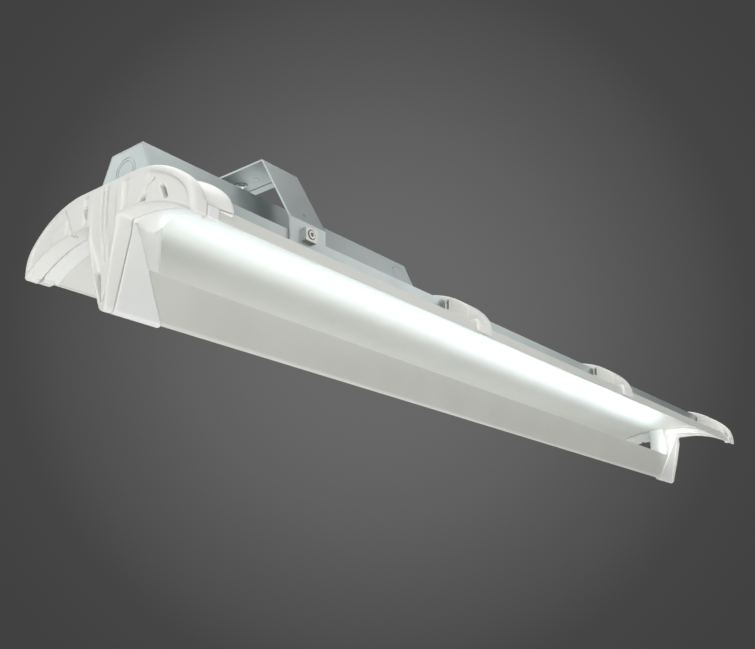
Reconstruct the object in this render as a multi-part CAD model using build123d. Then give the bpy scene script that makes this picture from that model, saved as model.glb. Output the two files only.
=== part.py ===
from build123d import *
import math
import os

# Linear pendant light with a gull-wing reflector and an upward-facing LED bar.
# Millimetres. X runs along the light, +Z is up. The origin is the middle of the
# flat top of the spine channel.

# Overall
overall_length = 1233.0
fit_gap = 0.3

# Outer profile of the end caps and ribs, seen along X
crown_height = 13.0
shoulder_radius = 102.0
ear_radius = 35.5
body_half_width = 118.0
ear_bottom = -50.0
crown_flat = (body_half_width - ear_radius
              - (shoulder_radius - ear_radius) * math.cos(math.radians(45)))

# Underside arch shared by the caps, brackets and reflector
arch_height = -24.6
arch_radius = 141.0
band_thickness = 3.3

# Reflector sheet, flat in the middle and curved down to the lips
reflector_height = -15.4
reflector_flat = 38.0
reflector_radius = 107.0
sheet = 1.0

# Reflector lip, a folded double hem inside the rib's and cap's edge
edge_cover = 3.5
lip_half_width = body_half_width - edge_cover
lip_thickness = 2.0
lip_top = -36.2
lip_bottom = -47.4

# Spine channel
spine_half_width = 72.4
spine_sheet = 1.2
spine_flange = 13.0
lug_width = 24.0
lug_height = 11.5

# End cap and bracket depths, measured from the end face
seam_depth = 17.0
seam_gap = 0.8
crest_depth = 13.0
waist_drop = 3.8
skirt_start = 26.0
skirt_depth = 46.5
band_middle_depth = 46.0
band_side_depth = 35.0
band_end_wall = 2.4
web_thickness = 3.0
rim_radius = 5.5
cap_wall = 3.0
skirt_bottom = -39.0
tab_depth = 28.5

# Moulded front of an end cap
dish_depth = 5.0
dish_margin = 6.5
dish_floor_margin = 2.6
middle_boss_half = 24.5
shoulder_inner = 31.0
shoulder_low = 46.0
shoulder_high = 64.0
outer_boss_inner = 57.0
outer_boss_outer = 79.0
outer_boss_top = -11.0
keel_rim = 3.4
groove_half_spacing = 3.1
groove_width = 1.6
groove_depth = 1.6

# Keel and bar
keel_half_width = 20.8
keel_shoulder = -36.0
keel_nose_radius = 5.0
keel_nose_centre = -100.7
bar_half_width = 13.8
bar_top = -62.0
bar_nose_radius = 4.0
bar_nose_centre = -99.0
bar_wall = 2.2
seat_top_depth = 42.5
seat_slope = 0.6
shelf_drop = 2.0
shelf_thickness = 3.0
board_width = 22.0
board_thickness = 1.6
board_count = 4
board_gap = 1.0
board_end_gap = 4.5
leds_per_board = 18
led_size = 3.0
led_height = 0.6

# Column that hangs the bar from the end bracket
column_half_width = 14.0
column_depth = 56.5
column_corner = 5.0
column_wall = 2.5

# Ribs
rib_width = 28.5
rib_offset = 187.0
rib_wall = 2.2
rib_tab_bottom = -45.5

# Driver box, from just behind the near end's seam to just short of the near rib
box_near_depth = 19.9
box_rib_gap = 8.85
box_top = 53.1
box_top_half = 22.2
box_foot_half = 45.3
box_sheet = 1.0
box_foot = 9.0
plate_lip = 7.0
knockout_outer = 28.2
knockout_inner = 22.2
knockout_line = 0.8
side_knockout_from_end = 18.0
side_knockout_height = 32.0

# Hanger
hanger_end_distance = 181.5
hanger_width = 50.0
hanger_sheet = 2.0
hanger_top = 88.5
hanger_plate_half = 34.0
hanger_bend = 13.7
hanger_bottom = -13.5
hanger_bolt_z = 0.9
hanger_hole = 5.0
hanger_eye = 11.0
hanger_eye_y = 22.5
bolt_diameter = 5.0
bolt_head = 8.5
nut_size = 8.0
nut_thickness = 4.0

# Screws
screw_shank = 3.5
screw_head = 7.0
screw_head_height = 2.4

# Driver box contents, measured from the box's near end
cable_entry_offset = 30.6
cable_entry_radius = 9.0
terminal_offset = 68.6
driver_offset = 116.6
driver_end_space = 50.0
driver_half_width = 20.0
driver_height = 30.0
driver_ear = 12.0
earth_offset = 93.6
earth_y = 22.0

half_length = overall_length / 2
box_start = -half_length + box_near_depth
box_end = -rib_offset - rib_width / 2 - box_rib_gap
box_length = box_end - box_start
hanger_centre_x = -half_length + hanger_end_distance
cable_entry_x = box_start + cable_entry_offset
terminal_x = box_start + terminal_offset
driver_length = box_length - driver_offset - driver_end_space
driver_centre_x = box_start + driver_offset + driver_length / 2
earth_place = (box_start + earth_offset, earth_y)
board_span = 2 * (half_length - column_depth - board_end_gap)
board_length = (board_span - (board_count - 1) * board_gap) / board_count
part_folder = "parts"


# Stretch a face drawn in the cross plane from one X to another.
def prism(face, x_start, x_end):
    return extrude(Plane.YZ.offset(x_start) * face, amount=x_end - x_start)


# Add the mirror image across the long vertical plane.
def both_sides(solid):
    return solid + mirror(solid, about=Plane.XZ)


# A plain block between two corners.
def block(x0, x1, y0, y1, z0, z1):
    size = Box(x1 - x0, y1 - y0, z1 - z0)
    return Pos((x0 + x1) / 2, (y0 + y1) / 2, (z0 + z1) / 2) * size


# A circular arc from a start angle through a turn, both in degrees.
def arc_between(centre, radius, start, turn):
    return CenterArc(centre, radius, start, turn)


# Half of the crown, shoulder and ear, moved inward by an inset.
def outer_edges(inset):
    flat_end = (crown_flat, crown_height - inset)
    shoulder_centre = (crown_flat, crown_height - shoulder_radius)
    ear_z = (crown_height - shoulder_radius
             + (shoulder_radius - ear_radius) * math.sin(math.radians(45)))
    ear_centre = (body_half_width - ear_radius, ear_z)
    return [
        Line((0, crown_height - inset), flat_end),
        arc_between(shoulder_centre, shoulder_radius - inset, 90, -45),
        arc_between(ear_centre, ear_radius - inset, 45, -45),
    ]


# Height of the arch at a distance from the middle, raised by a rise.
def arch_z(y, rise):
    if y <= crown_flat:
        return arch_height + rise
    radius = arch_radius + rise
    return arch_height - arch_radius + math.sqrt(radius ** 2 - (y - crown_flat) ** 2)


# Half of the arch between two distances from the middle.
def arch_edges(y_start, y_end, rise):
    centre = (crown_flat, arch_height - arch_radius)
    radius = arch_radius + rise
    edges = []
    if y_start < crown_flat:
        edges.append(Line((y_start, arch_height + rise), (crown_flat, arch_height + rise)))
        first = 90.0
    else:
        first = math.degrees(math.acos((y_start - crown_flat) / radius))
    last = math.degrees(math.acos((y_end - crown_flat) / radius))
    edges.append(arc_between(centre, radius, first, last - first))
    return edges


# Height of the reflector's underside at a distance from the middle, raised by a rise.
def shade_z(y, rise):
    if y <= reflector_flat:
        return reflector_height + rise
    radius = reflector_radius + rise
    fall = radius - math.sqrt(radius ** 2 - (y - reflector_flat) ** 2)
    return reflector_height + rise - fall


# Half of the reflector's section between two distances from the middle.
def shade_edges(y_start, y_end, rise):
    centre = (reflector_flat, reflector_height - reflector_radius)
    radius = reflector_radius + rise
    edges = []
    first = 90.0
    if y_start < reflector_flat:
        edges.append(Line((y_start, reflector_height + rise),
                          (reflector_flat, reflector_height + rise)))
    else:
        first = math.degrees(math.acos((y_start - reflector_flat) / radius))
    last = math.degrees(math.acos((y_end - reflector_flat) / radius))
    edges.append(arc_between(centre, radius, first, last - first))
    return edges


# Close a row of edges with straight lines through the given corners.
def closed_face(edges, corners):
    start = edges[0] @ 0
    points = [edges[-1] @ 1] + [Vector(c[0], c[1]) for c in corners] + [start]
    lines = [Line(a, b) for a, b in zip(points[:-1], points[1:])]
    return make_face(edges + lines)


# Cross section of the keel: straight shoulders, sloped flats, round nose.
def keel_face(widen, top):
    nose = keel_nose_radius + widen
    half = keel_half_width + widen
    reach = math.hypot(half, keel_shoulder - keel_nose_centre)
    lean = math.atan2(half, keel_shoulder - keel_nose_centre) - math.asin(nose / reach)
    touch = (nose * math.cos(lean), keel_nose_centre - nose * math.sin(lean))
    start = -math.degrees(lean)
    side = [
        Line((half, top), (half, keel_shoulder)),
        Line((half, keel_shoulder), touch),
        arc_between((0, keel_nose_centre), nose, start, -90 - start),
    ]
    return closed_face(side, [(0, top)])


# Half of the V section of the bar, moved inward by an inset.
def bar_face(inset):
    reach = math.hypot(bar_half_width, bar_top - bar_nose_centre)
    lean = (math.atan2(bar_half_width, bar_top - bar_nose_centre)
            - math.asin(bar_nose_radius / reach))
    nose = bar_nose_radius - inset
    shift = inset / math.cos(lean)
    touch = (nose * math.cos(lean), bar_nose_centre - nose * math.sin(lean))
    start = -math.degrees(lean)
    side = [
        Line((bar_half_width - shift, bar_top), touch),
        arc_between((0, bar_nose_centre), nose, start, -90 - start),
    ]
    return closed_face(side, [(0, bar_top)])


# Place the same piece at several positions as one group.
def ring_of(positions, make):
    return Compound(children=[Pos(*p) * make() for p in positions])


# Write one node to its own file.
def save(shape, name):
    shape.label = name
    export_step(shape, os.path.join(part_folder, name + ".step"))


# Spine: top, sides and flanges that lean with the reflector below them.
def make_spine():
    middle = spine_half_width - spine_flange / 2
    lean = math.degrees(math.asin((middle - reflector_flat) / reflector_radius))
    spine_side_bottom = shade_z(spine_half_width, sheet) + fit_gap + 0.1
    foot = (spine_half_width, spine_side_bottom)
    drop = math.sin(math.radians(lean)) * spine_flange
    reach = math.cos(math.radians(lean)) * spine_flange
    tip = (spine_half_width - reach, spine_side_bottom + drop)
    path = [(0, 0), (spine_half_width, 0), foot, tip]
    lift = spine_sheet / math.cos(math.radians(lean))
    side = spine_half_width - spine_sheet
    inner = [(tip[0], tip[1] + lift), (side, spine_side_bottom + lift)]
    inner += [(side, -spine_sheet), (0, -spine_sheet)]
    face = make_face(Polyline(*(path + inner), close=True))
    end = half_length - seam_depth - seam_gap / 2 - web_thickness - fit_gap
    spine = prism(face, -end, end)
    # each lug is cut from the top and bent up, which leaves a window beside it
    lug_x0 = hanger_centre_x - lug_width / 2
    lug_x1 = hanger_centre_x + lug_width / 2
    window = block(lug_x0, lug_x1, side - lug_height, side, -2 * spine_sheet, 1)
    lug = block(lug_x0, lug_x1, side, spine_half_width, -spine_sheet, lug_height)
    spine = both_sides(spine - window + lug)
    bolt = Pos(hanger_centre_x, 0, hanger_bolt_z) * Rot(90, 0, 0)
    spine -= bolt * Cylinder(bolt_diameter / 2 + 0.2, 2 * body_half_width)
    # cable entry under the driver box and screw holes in the top
    spine -= Pos(cable_entry_x, 0, 0) * Cylinder(cable_entry_radius, 10)
    for x, y in rib_screw_places() + end_screw_places() + box_screw_places():
        spine -= Pos(x, y, 0) * Cylinder(screw_shank / 2 + 0.1, 10)
    for x, y in driver_screw_places() + plate_screw_places() + [earth_place]:
        spine -= Pos(x, y, 0) * Cylinder(screw_shank / 2 + 0.1, 10)
    return spine


# Reflector: a thin gull-wing sheet with a folded hem along each side.
def make_reflector():
    hem_inner = lip_half_width - lip_thickness
    under = shade_edges(0, hem_inner + 0.4, 0)
    over = shade_edges(0, hem_inner + 0.4, sheet)
    join = Line(under[-1] @ 1, over[-1] @ 1)
    face = make_face(under + over + [join, Line(under[0] @ 0, over[0] @ 0)])
    end = half_length - seam_depth - seam_gap / 2 - web_thickness - fit_gap
    wing = prism(face, -end, end)
    hem = block(-end, end, hem_inner, lip_half_width, lip_bottom, lip_top)
    hem = fillet(hem.edges().filter_by(Axis.X), 0.9)
    sheet_part = both_sides(wing + hem)
    lead_hole = Pos(-half_length + 40, 0, reflector_height) * Cylinder(7, 12)
    return sheet_part - lead_hole


# Slanted end plane of the keel, as a large block beyond it.
def beyond_seat(extra):
    x_top = -half_length + seat_top_depth + extra
    low = keel_nose_centre - 30
    high = 0.0
    x_low = x_top + (bar_top - low) * seat_slope
    x_high = x_top + (bar_top - high) * seat_slope
    corners = [(x_low, low), (half_length, low), (half_length, high), (x_high, high)]
    face = make_face(Polyline(*corners, close=True))
    wide = 2 * body_half_width
    return extrude(Plane.XZ.offset(-body_half_width) * face, amount=wide)


# Bar: hollow V extrusion with a sunk shelf for the boards and a web inside.
def make_bar():
    solid = prism(bar_face(0), -half_length, half_length)
    hollow = prism(bar_face(bar_wall), -half_length, half_length)
    shelf_z = bar_top - shelf_drop
    cut = block(-half_length, half_length, 0, board_width / 2 + 0.3, shelf_z, bar_top + 1)
    below = block(-half_length, half_length, 0.9, bar_half_width,
                  bar_nose_centre + 3, shelf_z - shelf_thickness)
    solid = solid - cut - (hollow & below)
    bar = both_sides(solid)
    seat = beyond_seat(fit_gap)
    bar = bar & seat
    bar = bar & mirror(seat, about=Plane.YZ)
    for x, y, z in bar_screw_places():
        bar -= Pos(x, y, shelf_z) * Cylinder(screw_shank / 2 + 0.1, 12)
    for x, y, z in board_screw_places():
        bar -= Pos(x, y, shelf_z) * Cylinder(screw_shank / 2 + 0.1, 12)
    return bar


# Region of an end cap between its rim and the arch.
def cap_face(inset, rise):
    edges = outer_edges(inset)
    arch = arch_edges(0, lip_half_width + 0.5 - inset, rise)
    end = arch[-1] @ 1
    x_side = body_half_width - inset
    side = Line(edges[-1] @ 1, (x_side, ear_bottom + inset))
    tail = Line((x_side, ear_bottom + inset), end)
    half = make_face(edges + [side, tail] + arch + [Line((0, edges[0].start_point().Y),
                                                        (0, arch[0].start_point().Y))])
    return half


# A face across the cap, drawn on one side, from corners given as distance and height.
def corner_prism(corners, x0, x1):
    return prism(make_face(Polyline(*corners, close=True)), x0, x1)


# Sunk area of one wing of a cap, with its raised shoulder and outer boss.
def wing_dish():
    front = -half_length
    start = middle_boss_half
    edges = outer_edges(dish_margin)
    stop = body_half_width - 2 * dish_margin
    arch = arch_edges(start, stop, dish_floor_margin)
    floor = make_face([edges[1], edges[2],
                       Line(edges[2] @ 1, arch[-1] @ 1)] + arch + [
                       Line(arch[0] @ 0, (start, crown_height - dish_margin)),
                       Line((start, crown_height - dish_margin), edges[1] @ 0)])
    dish = prism(floor, front - 1, front + dish_depth)
    # the shoulder leans outward towards the crown
    high = crown_height
    low = arch_height + dish_floor_margin
    shoulder = corner_prism([(shoulder_inner, high), (shoulder_high, high),
                             (shoulder_low, low - 1), (shoulder_inner, low - 1)],
                            front + 1.0, front + dish_depth + 1)
    boss_low = arch_z(outer_boss_outer, 0) - 2
    boss = corner_prism([(outer_boss_inner, outer_boss_top + 5),
                         (outer_boss_outer, outer_boss_top - 3),
                         (outer_boss_outer, boss_low), (outer_boss_inner, boss_low)],
                        front + 1.0, front + dish_depth + 1)
    shoulder = fillet(shoulder.edges().filter_by(Axis.X), 1.5)
    return dish - shoulder - boss


# Hollow in the keel's front, deepest half way down, with a slit beside its floor.
def keel_valley():
    front = -half_length
    top = crown_height - dish_margin
    course = [(front + 0.6, top), (front + 1.2, arch_height + 6), (front + 4.0, -46.0),
              (front + 7.6, -64.0), (front + 7.2, -82.0), (front + 3.4, keel_nose_centre)]
    curve = Spline(*course)
    lines = [Line(course[-1], (front - 2, keel_nose_centre)),
             Line((front - 2, keel_nose_centre), (front - 2, top)),
             Line((front - 2, top), course[0])]
    side = make_face([curve] + lines)
    wide = keel_half_width * 2
    depth = extrude(Plane.XZ.offset(-keel_half_width) * side, amount=wide)
    mouth = both_sides(prism(keel_face(-keel_rim, top), front - 3, front + seam_depth))
    groove = block(front - 3, front + seam_depth, groove_half_spacing - groove_width / 2,
                   groove_half_spacing + groove_width / 2, -62.0, top)
    return depth & mouth, both_sides(groove) & (Pos(groove_depth, 0, 0) * depth)


# Outer cap: rounded rim, waist, skirts over the spine's shoulders, sunk wings
# and a keel with a valley and twin grooves.
def make_cap():
    front = -half_length
    back = front + seam_depth - seam_gap / 2
    crest = prism(cap_face(0, 0), front, front + crest_depth)
    waist = prism(cap_face(waist_drop, 0), front + crest_depth - 1, back)
    keel = prism(keel_face(0, arch_height + 2), front, back)
    body = both_sides(crest + waist + keel)
    rim = [e for e in body.edges() if abs(e.center().X - front) < 0.01
           and e.geom_type == GeomType.CIRCLE and e.radius > keel_nose_radius + 1
           and e.radius < arch_radius - 1]
    rim += [e for e in body.edges() if abs(e.center().X - front) < 0.01
            and e.center().Z > crown_height - 0.01]
    body = fillet(rim, rim_radius)
    bow = [e for e in body.edges() if abs(e.center().X - front) < 0.01
           and e.center().Z < keel_shoulder + 8 and abs(e.center().Y) < keel_half_width + 1]
    body = fillet(bow, 3.0)
    body = body - both_sides(wing_dish())
    # skirts behind the waist
    keep = block(front, front + skirt_depth + 1, spine_half_width + fit_gap,
                 body_half_width + 1, skirt_bottom, crown_height + 1)
    room = closed_face(outer_edges(waist_drop + cap_wall),
                       [(body_half_width - waist_drop - cap_wall, -60), (0, -60)])
    low_skirt = prism(cap_face(waist_drop, 0), back - 2, front + skirt_depth)
    skirt = prism(cap_face(0, 0), front + skirt_start, front + skirt_depth) & keep
    step = [e for e in skirt.edges() if abs(e.center().X - front - skirt_start) < 0.01
            and e.geom_type == GeomType.CIRCLE and e.radius in (shoulder_radius, ear_radius)]
    skirt = fillet(step, waist_drop - 0.4)
    skirt = skirt + (low_skirt & keep)
    skirt = skirt - block(front, front + skirt_depth + 1, 0, lip_half_width + fit_gap,
                          skirt_bottom - 1, lip_top + fit_gap + 0.1)
    inner_room = closed_face(outer_edges(cap_wall), [(body_half_width - cap_wall, -60), (0, -60)])
    skirt = skirt - prism(room, front, front + skirt_depth + 1)
    skirt = skirt - prism(inner_room, front + skirt_start + cap_wall, front + skirt_depth + 1)
    body = body + both_sides(skirt)
    # hollow back of the front shell
    well = prism(cap_face(waist_drop + cap_wall, cap_wall), front + dish_depth + cap_wall,
                 front + seam_depth + 1)
    keel_back = prism(keel_face(-cap_wall, arch_height + cap_wall + 1),
                      front + 7.6 + cap_wall, front + seam_depth + 1)
    body = body - both_sides(well + keel_back)
    valley, grooves = keel_valley()
    return body - valley - grooves


# Plan of the arch band: deepest at the column, curving back to an even width.
def band_plan(band_end, x_start, inset):
    front = -half_length
    middle = front + band_middle_depth - inset
    side = front + band_side_depth - inset
    bow = Spline((middle, column_half_width), (middle - 4.5, 34.0), (side, 60.0),
                 tangents=[(-0.05, 1), (0, 1)])
    edges = [Line((x_start, 0), (middle, 0)), Line((middle, 0), (middle, column_half_width)),
             bow, Line((side, 60.0), (side, band_end)), Line((side, band_end), (x_start, band_end)),
             Line((x_start, band_end), (x_start, 0))]
    return extrude(make_face(edges), amount=80, both=True)


# The band's full body between the arch and the reflector, within the plan.
def under_band(band_end, x_start, inset):
    under = arch_edges(0, band_end, 0)
    over = shade_edges(0, band_end, -fit_gap)
    face = make_face(under + over + [Line(under[-1] @ 1, over[-1] @ 1),
                                     Line(under[0] @ 0, over[0] @ 0)])
    body = prism(face, x_start, -half_length + band_middle_depth)
    return body & band_plan(band_end, x_start, inset)


# The space above the band's skin.
def above_band(band_end, x_start):
    over = arch_edges(0, band_end, band_thickness)
    face = closed_face(over, [(band_end, 20), (0, 20)])
    return prism(face, x_start, -half_length + band_middle_depth + 1)


# Inner bracket: web, arch band, wedge with the slanted seat, column and tabs.
def make_bracket():
    front = -half_length
    web_start = front + seam_depth + seam_gap / 2
    web_end = web_start + web_thickness
    web = prism(cap_face(waist_drop + cap_wall + fit_gap, 1), web_start, web_end)
    low_web = block(web_start, web_end, 0, spine_half_width + 0.1,
                    keel_nose_centre, -spine_sheet - fit_gap)
    high_web = block(web_start, web_end, spine_half_width + 0.1, body_half_width,
                     keel_nose_centre, crown_height)
    web = (web & low_web) + (web & high_web)
    band_end = lip_half_width - lip_thickness - fit_gap
    band = under_band(band_end, web_start, 0) - (
        under_band(band_end - 2, web_end, band_end_wall) & above_band(band_end, web_end))
    wedge = prism(keel_face(0, arch_height + 1), web_start, front + seat_top_depth + 40)
    wedge = wedge - beyond_seat(0)
    column = block(web_start, front + column_depth, 0, column_half_width,
                   bar_top + fit_gap, reflector_height - fit_gap)
    rounded = column.edges().filter_by(Axis.Z).sort_by(Axis.X)[-2:]
    rounded = [e for e in rounded if e.center().Y > 1]
    column = fillet(rounded, column_corner)
    tab = block(web_start, front + tab_depth, lip_half_width + fit_gap, body_half_width,
                ear_bottom + 0.5, skirt_bottom - fit_gap)
    shoe = block(web_start, front + tab_depth, band_end - 3, lip_half_width + 1,
                 ear_bottom + 0.5, lip_bottom - fit_gap)
    shoe += block(web_start, front + tab_depth, band_end - 3, band_end,
                  ear_bottom + 0.5, arch_z(band_end, 1))
    tongue = block(web_start + 1, front + 50, 0, 28, -spine_sheet - fit_gap - 3,
                   -spine_sheet - fit_gap)
    half = web + band + wedge + column + tab + shoe + tongue
    # the column is open inside for the leads, with a floor that takes the screws
    well = block(web_end, front + column_depth - column_wall, 0,
                 column_half_width - column_wall, bar_top + fit_gap + 3, 0)
    half = half - well
    bracket = both_sides(half)
    for x, y, z in bar_screw_places():
        if x < 0:
            bracket -= Pos(x, y, bar_top + 2) * Cylinder(screw_shank / 2 + 0.1, 8)
    for x, y in end_screw_places():
        if x < 0:
            bracket -= Pos(x, y, -spine_sheet - 2) * Cylinder(screw_shank / 2 + 0.1, 8)
    return bracket


# Rib: an arched moulding over the spine with tabs over the reflector's lips.
def make_rib(centre_x):
    x0 = centre_x - rib_width / 2
    x1 = centre_x + rib_width / 2
    seat = spine_half_width + fit_gap
    band_end = lip_half_width - lip_thickness - fit_gap
    edges = outer_edges(0)
    arch = shade_edges(seat, band_end, sheet + fit_gap)
    corners = [(body_half_width, rib_tab_bottom),
               (lip_half_width + fit_gap, rib_tab_bottom),
               (lip_half_width + fit_gap, lip_top + fit_gap),
               (band_end, lip_top + fit_gap)]
    lines = []
    points = [edges[-1] @ 1] + [Vector(*c) for c in corners] + [arch[-1] @ 1]
    for a, b in zip(points[:-1], points[1:]):
        lines.append(Line(a, b))
    lines.append(Line(arch[0] @ 0, (seat, 0)))
    lines.append(Line((seat, 0), (0, 0)))
    lines.append(Line((0, 0), edges[0] @ 0))
    solid = prism(make_face(edges + lines + arch), x0, x1)
    # pockets open towards the reflector, with webs left between them
    inner = outer_edges(rib_wall + 0.4)
    box_face = make_face(inner + [Line(inner[-1] @ 1, (band_end - 4, -60)),
                                  Line((band_end - 4, -60), (0, -60)),
                                  Line((0, -60), inner[0] @ 0)])
    room = prism(box_face, x0 + rib_wall, x1 - rib_wall)
    reach = band_end - seat
    for first, last in ((0.13, 0.34), (0.39, 0.64), (0.69, 0.95)):
        solid = solid - (room & block(x0, x1, seat + first * reach, seat + last * reach, -60, 20))
    # slot beside the spine through both faces
    solid = solid - block(x0 - 1, x1 + 1, seat + 6.8, seat + 8.6, -14, -1.5)
    rib = both_sides(solid)
    top_edges = [e for e in rib.edges() if (e @ 0.5).Z > crown_height - 0.01
                 or e.geom_type == GeomType.CIRCLE and e.radius > 30
                 and abs(e.center().X - centre_x) > rib_width / 2 - 0.1
                 and (e.radius in (shoulder_radius, ear_radius))]
    top_edges = [e for e in top_edges if abs(abs((e @ 0.5).X - centre_x) - rib_width / 2) < 0.01]
    rib = fillet(top_edges, 1.2)
    for x, y in rib_screw_places():
        if abs(x - centre_x) < rib_width:
            rib -= Pos(x, y, crown_height / 2) * Cylinder(screw_shank / 2 + 0.1, 40)
            rib -= Pos(x, y, crown_height - 2) * Cylinder(screw_head / 2 + 0.5, 8)
    return rib


# Driver box cover: folded trapezoid with feet on the spine.
def make_cover():
    x0 = box_start
    x1 = box_end
    slope = (box_foot_half - box_top_half) / box_top
    shift = box_sheet * math.sqrt(1 + slope ** 2)
    foot = box_foot_half + box_foot
    outline = [(0, box_top), (box_top_half, box_top),
               (box_foot_half - slope * box_sheet, box_sheet),
               (foot, box_sheet), (foot, 0), (box_foot_half - shift, 0),
               (box_top_half - shift + slope * box_sheet, box_top - box_sheet),
               (0, box_top - box_sheet)]
    cover = both_sides(prism(make_face(Polyline(*outline, close=True)), x0, x1))
    knock = side_knockout_shape(x1, 0.4, 12)
    cover = cover - knock
    for x, y in box_screw_places():
        cover -= Pos(x, y, 0) * Cylinder(screw_shank / 2 + 0.1, 10)
    return cover


# Round shape across the sloped side, for the knockout and its hole.
def side_knockout_shape(x_end, grow, depth):
    slope = (box_foot_half - box_top_half) / box_top
    y = box_top_half + slope * (box_top - side_knockout_height)
    tilt = math.degrees(math.atan(slope))
    place = Pos(x_end - side_knockout_from_end, -y, side_knockout_height)
    return place * Rot(90 - tilt, 0, 0) * Cylinder(knockout_outer / 2 + grow, depth)


# The knockout blank, flush in its hole.
def make_knockout():
    x1 = box_end
    slope = (box_foot_half - box_top_half) / box_top
    y = box_top_half + slope * (box_top - side_knockout_height)
    tilt = math.degrees(math.atan(slope))
    place = Pos(x1 - side_knockout_from_end, -y, side_knockout_height) * Rot(90 - tilt, 0, 0)
    return place * Pos(0, 0, -box_sheet / 2) * Cylinder(knockout_outer / 2, box_sheet)


# End plate of the driver box: plate with folded lips inside the cover.
def make_plate(near):
    x0 = box_start
    slope = (box_foot_half - box_top_half) / box_top
    inner_top = box_top - box_sheet - fit_gap
    shift = box_sheet * math.sqrt(1 + slope ** 2) + fit_gap * 1.1
    top_half = box_top_half - shift + slope * (box_sheet + fit_gap)
    low_half = box_foot_half - shift
    outline = [(0, inner_top), (top_half, inner_top), (low_half, 0), (0, 0)]
    plate = prism(make_face(Polyline(*outline, close=True)), x0, x0 + box_sheet)
    lip = block(x0, x0 + plate_lip + box_sheet, 0, 36, 0, box_sheet)
    top_lip = block(x0, x0 + plate_lip + box_sheet, 0, top_half - 3,
                    inner_top - box_sheet, inner_top)
    plate = both_sides(plate + lip + top_lip)
    for radius in (knockout_outer / 2, knockout_inner / 2):
        ring = Cylinder(radius, 0.8) - Cylinder(radius - knockout_line, 0.8)
        plate -= Pos(x0, 0, 30) * Rot(0, 90, 0) * ring
    for x, y in plate_screw_places():
        if x < x0 + plate_lip + 3:
            plate -= Pos(x, y, 0) * Cylinder(screw_shank / 2 + 0.1, 10)
    if not near:
        middle = x0 + box_length / 2
        plate = mirror(plate, about=Plane.YZ.offset(middle))
    return plate


# Hanger: bent strip over the driver box, flanges outside the spine.
def make_hanger():
    x0 = hanger_centre_x - hanger_width / 2
    x1 = hanger_centre_x + hanger_width / 2
    flange_out = spine_half_width + fit_gap + hanger_sheet
    outer = [(0, hanger_top), (hanger_plate_half, hanger_top),
             (flange_out, hanger_bend), (flange_out, hanger_bottom)]
    run = FilletPolyline(*[(0, hanger_top - hanger_sheet / 2),
                           (hanger_plate_half - 0.6, hanger_top - hanger_sheet / 2),
                           (flange_out - hanger_sheet / 2, hanger_bend - 0.3),
                           (flange_out - hanger_sheet / 2, hanger_bottom)], radius=3.0)
    face = trace(run.edges(), hanger_sheet)
    strip = both_sides(prism(face, x0, x1))
    strip -= Pos(hanger_centre_x, 0, hanger_top) * Cylinder(hanger_hole / 2, 12)
    eye = Pos(hanger_centre_x, hanger_eye_y, hanger_top - 1.5)
    strip += eye * Cylinder(hanger_eye / 2 + 1.5, 3.0)
    strip -= eye * Cylinder(hanger_eye / 2, 20)
    # stiffening groove near the far edge of the top plate, on its underside
    groove = block(x1 - 11.5, x1 - 9.5, -hanger_plate_half + 6, hanger_plate_half - 6,
                   hanger_top - hanger_sheet - 1, hanger_top - hanger_sheet + 0.5)
    strip -= groove
    leg_y = hanger_plate_half + (hanger_top - 24) * (flange_out - hanger_plate_half) / (
        hanger_top - hanger_bend)
    strip -= Pos(hanger_centre_x, -leg_y, 24) * Rot(90, 0, 0) * Cylinder(1.8, 14)
    strip -= Pos(hanger_centre_x, leg_y, 24) * Rot(90, 0, 0) * Cylinder(1.8, 14)
    bolt = Pos(hanger_centre_x, 0, hanger_bolt_z) * Rot(90, 0, 0)
    strip -= bolt * Cylinder(bolt_diameter / 2 + 0.2, 2 * body_half_width)
    return strip


# Square clamp block outside each flange, counterbored for the bolt head.
def make_hanger_block():
    y0 = spine_half_width + fit_gap + hanger_sheet
    body = block(hanger_centre_x - 8, hanger_centre_x + 8, y0, y0 + 4.5,
                 hanger_bolt_z - 7.5, hanger_bolt_z + 6.5)
    body = chamfer(body.edges().filter_by(Axis.Y), 0.8)
    through = Pos(hanger_centre_x, y0, hanger_bolt_z) * Rot(90, 0, 0)
    sunk = Pos(hanger_centre_x, y0 + 1.5 + 5, hanger_bolt_z) * Rot(90, 0, 0)
    body -= through * Cylinder(bolt_diameter / 2 + 0.2, 30)
    body -= sunk * Cylinder(bolt_head / 2 + 1.0, 10)
    return body


# Socket-head bolt that lies in the block's counterbore.
def make_hanger_bolt():
    y0 = spine_half_width + fit_gap + hanger_sheet + 1.5
    inner = spine_half_width - spine_sheet - nut_thickness - 1
    place = Pos(hanger_centre_x, 0, hanger_bolt_z)
    head = place * Pos(0, y0 + 1.75, 0) * Rot(90, 0, 0) * Cylinder(bolt_head / 2, 3.5)
    shank = place * Pos(0, (y0 + inner) / 2, 0) * Rot(90, 0, 0) * Cylinder(
        bolt_diameter / 2, y0 - inner)
    key = extrude(RegularPolygon(2.3, 6), amount=2.0, both=True)
    socket = place * Pos(0, y0 + 3.5, 0) * Rot(90, 0, 0) * key
    return head + shank - socket


# Square nut against the inner face of the spine's side.
def make_hanger_nut():
    y1 = spine_half_width - spine_sheet
    nut = block(hanger_centre_x - nut_size / 2, hanger_centre_x + nut_size / 2,
                y1 - nut_thickness, y1,
                hanger_bolt_z - nut_size / 2, hanger_bolt_z + nut_size / 2)
    nut = chamfer(nut.edges().filter_by(Axis.Y), 0.5)
    nut -= Pos(hanger_centre_x, y1, hanger_bolt_z) * Rot(90, 0, 0) * Cylinder(
        bolt_diameter / 2, 20)
    return nut


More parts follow.
